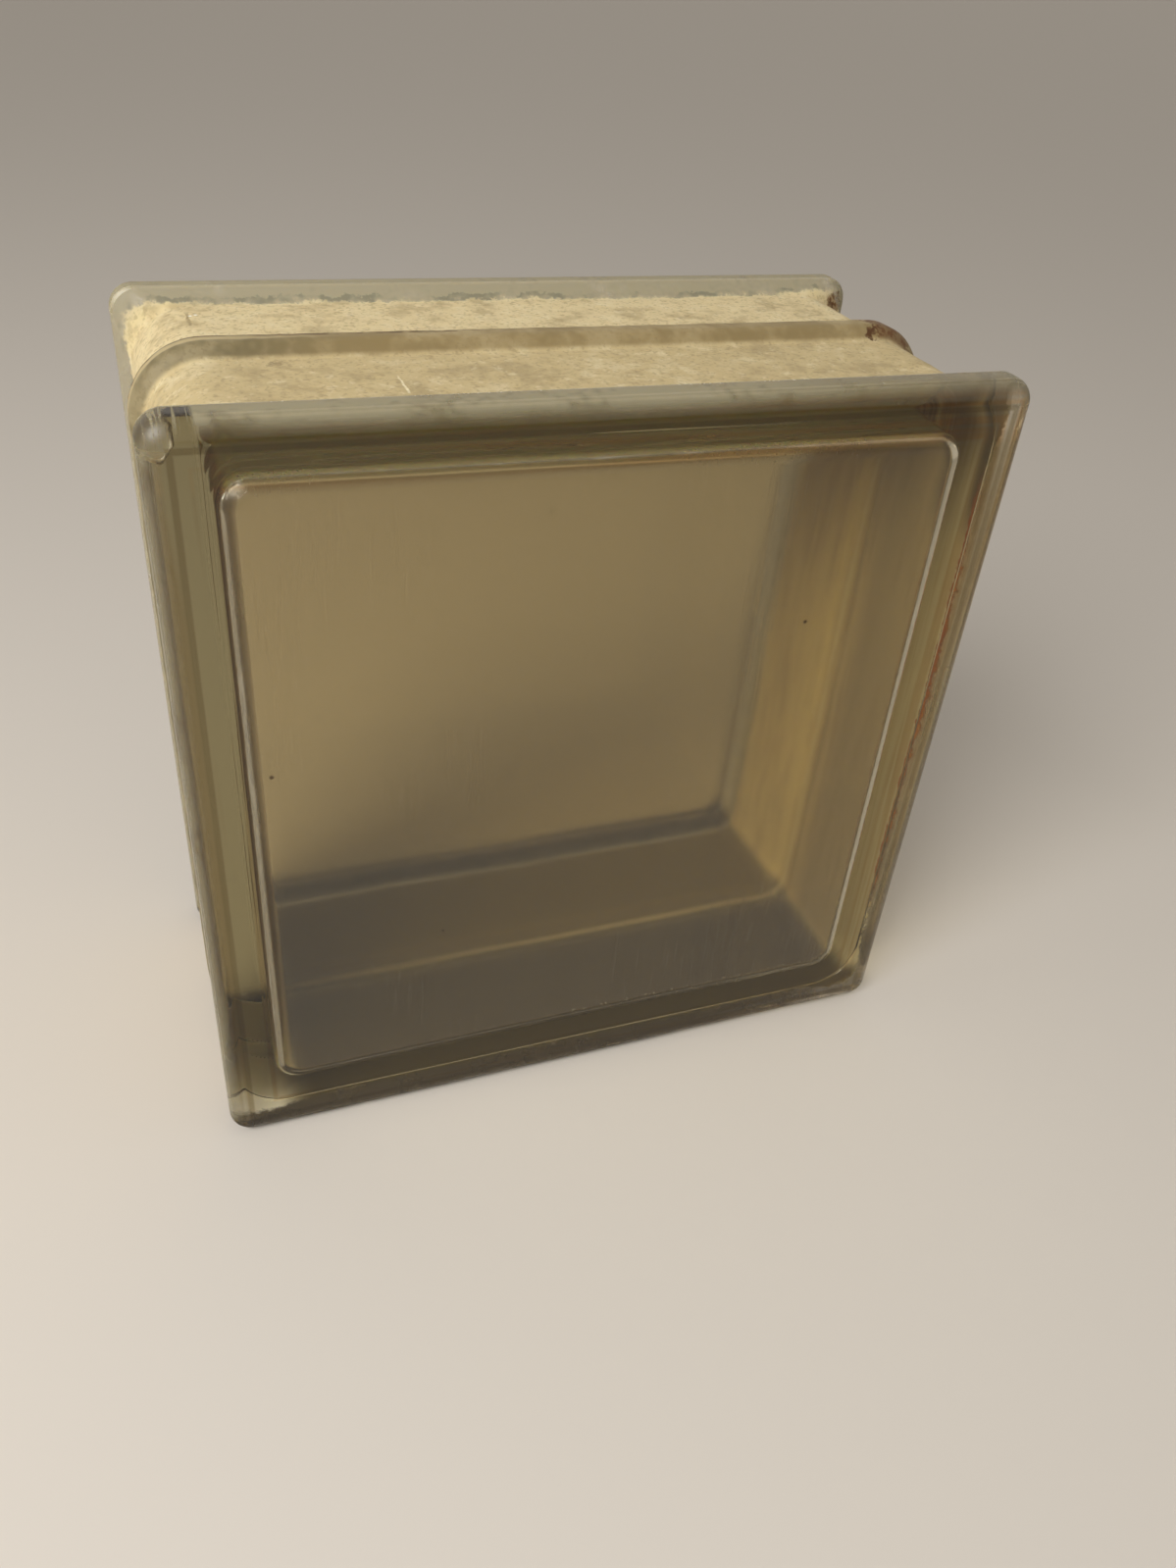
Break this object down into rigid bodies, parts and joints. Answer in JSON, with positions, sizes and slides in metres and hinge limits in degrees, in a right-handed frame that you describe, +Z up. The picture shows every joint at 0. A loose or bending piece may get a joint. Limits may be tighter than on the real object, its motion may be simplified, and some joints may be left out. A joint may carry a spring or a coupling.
{
  "type": "glass block",
  "caption": "Square hollow building block of clear pressed glass, with standing rims, a recessed mortar channel, a fused middle ridge and a cream coating round its sides.",
  "frame": {"origin": "middle of the footprint, on the floor that the block stands on", "axes": "+Z up, +X along the width, +Y through the thickness from the front face to the back face"},
  "size_m": [0.1968, 0.0984, 0.1969],
  "materials": {
    "clear_glass": "clear soda-lime glass, fire-polished, lightly scratched",
    "edge_coating": "cream-yellow gritty sprayed coating, stained"
  },
  "bodies": {
    "root": {"glass_block": "clear_glass", "edge_coating": "edge_coating"}
  },
  "joints": []
}
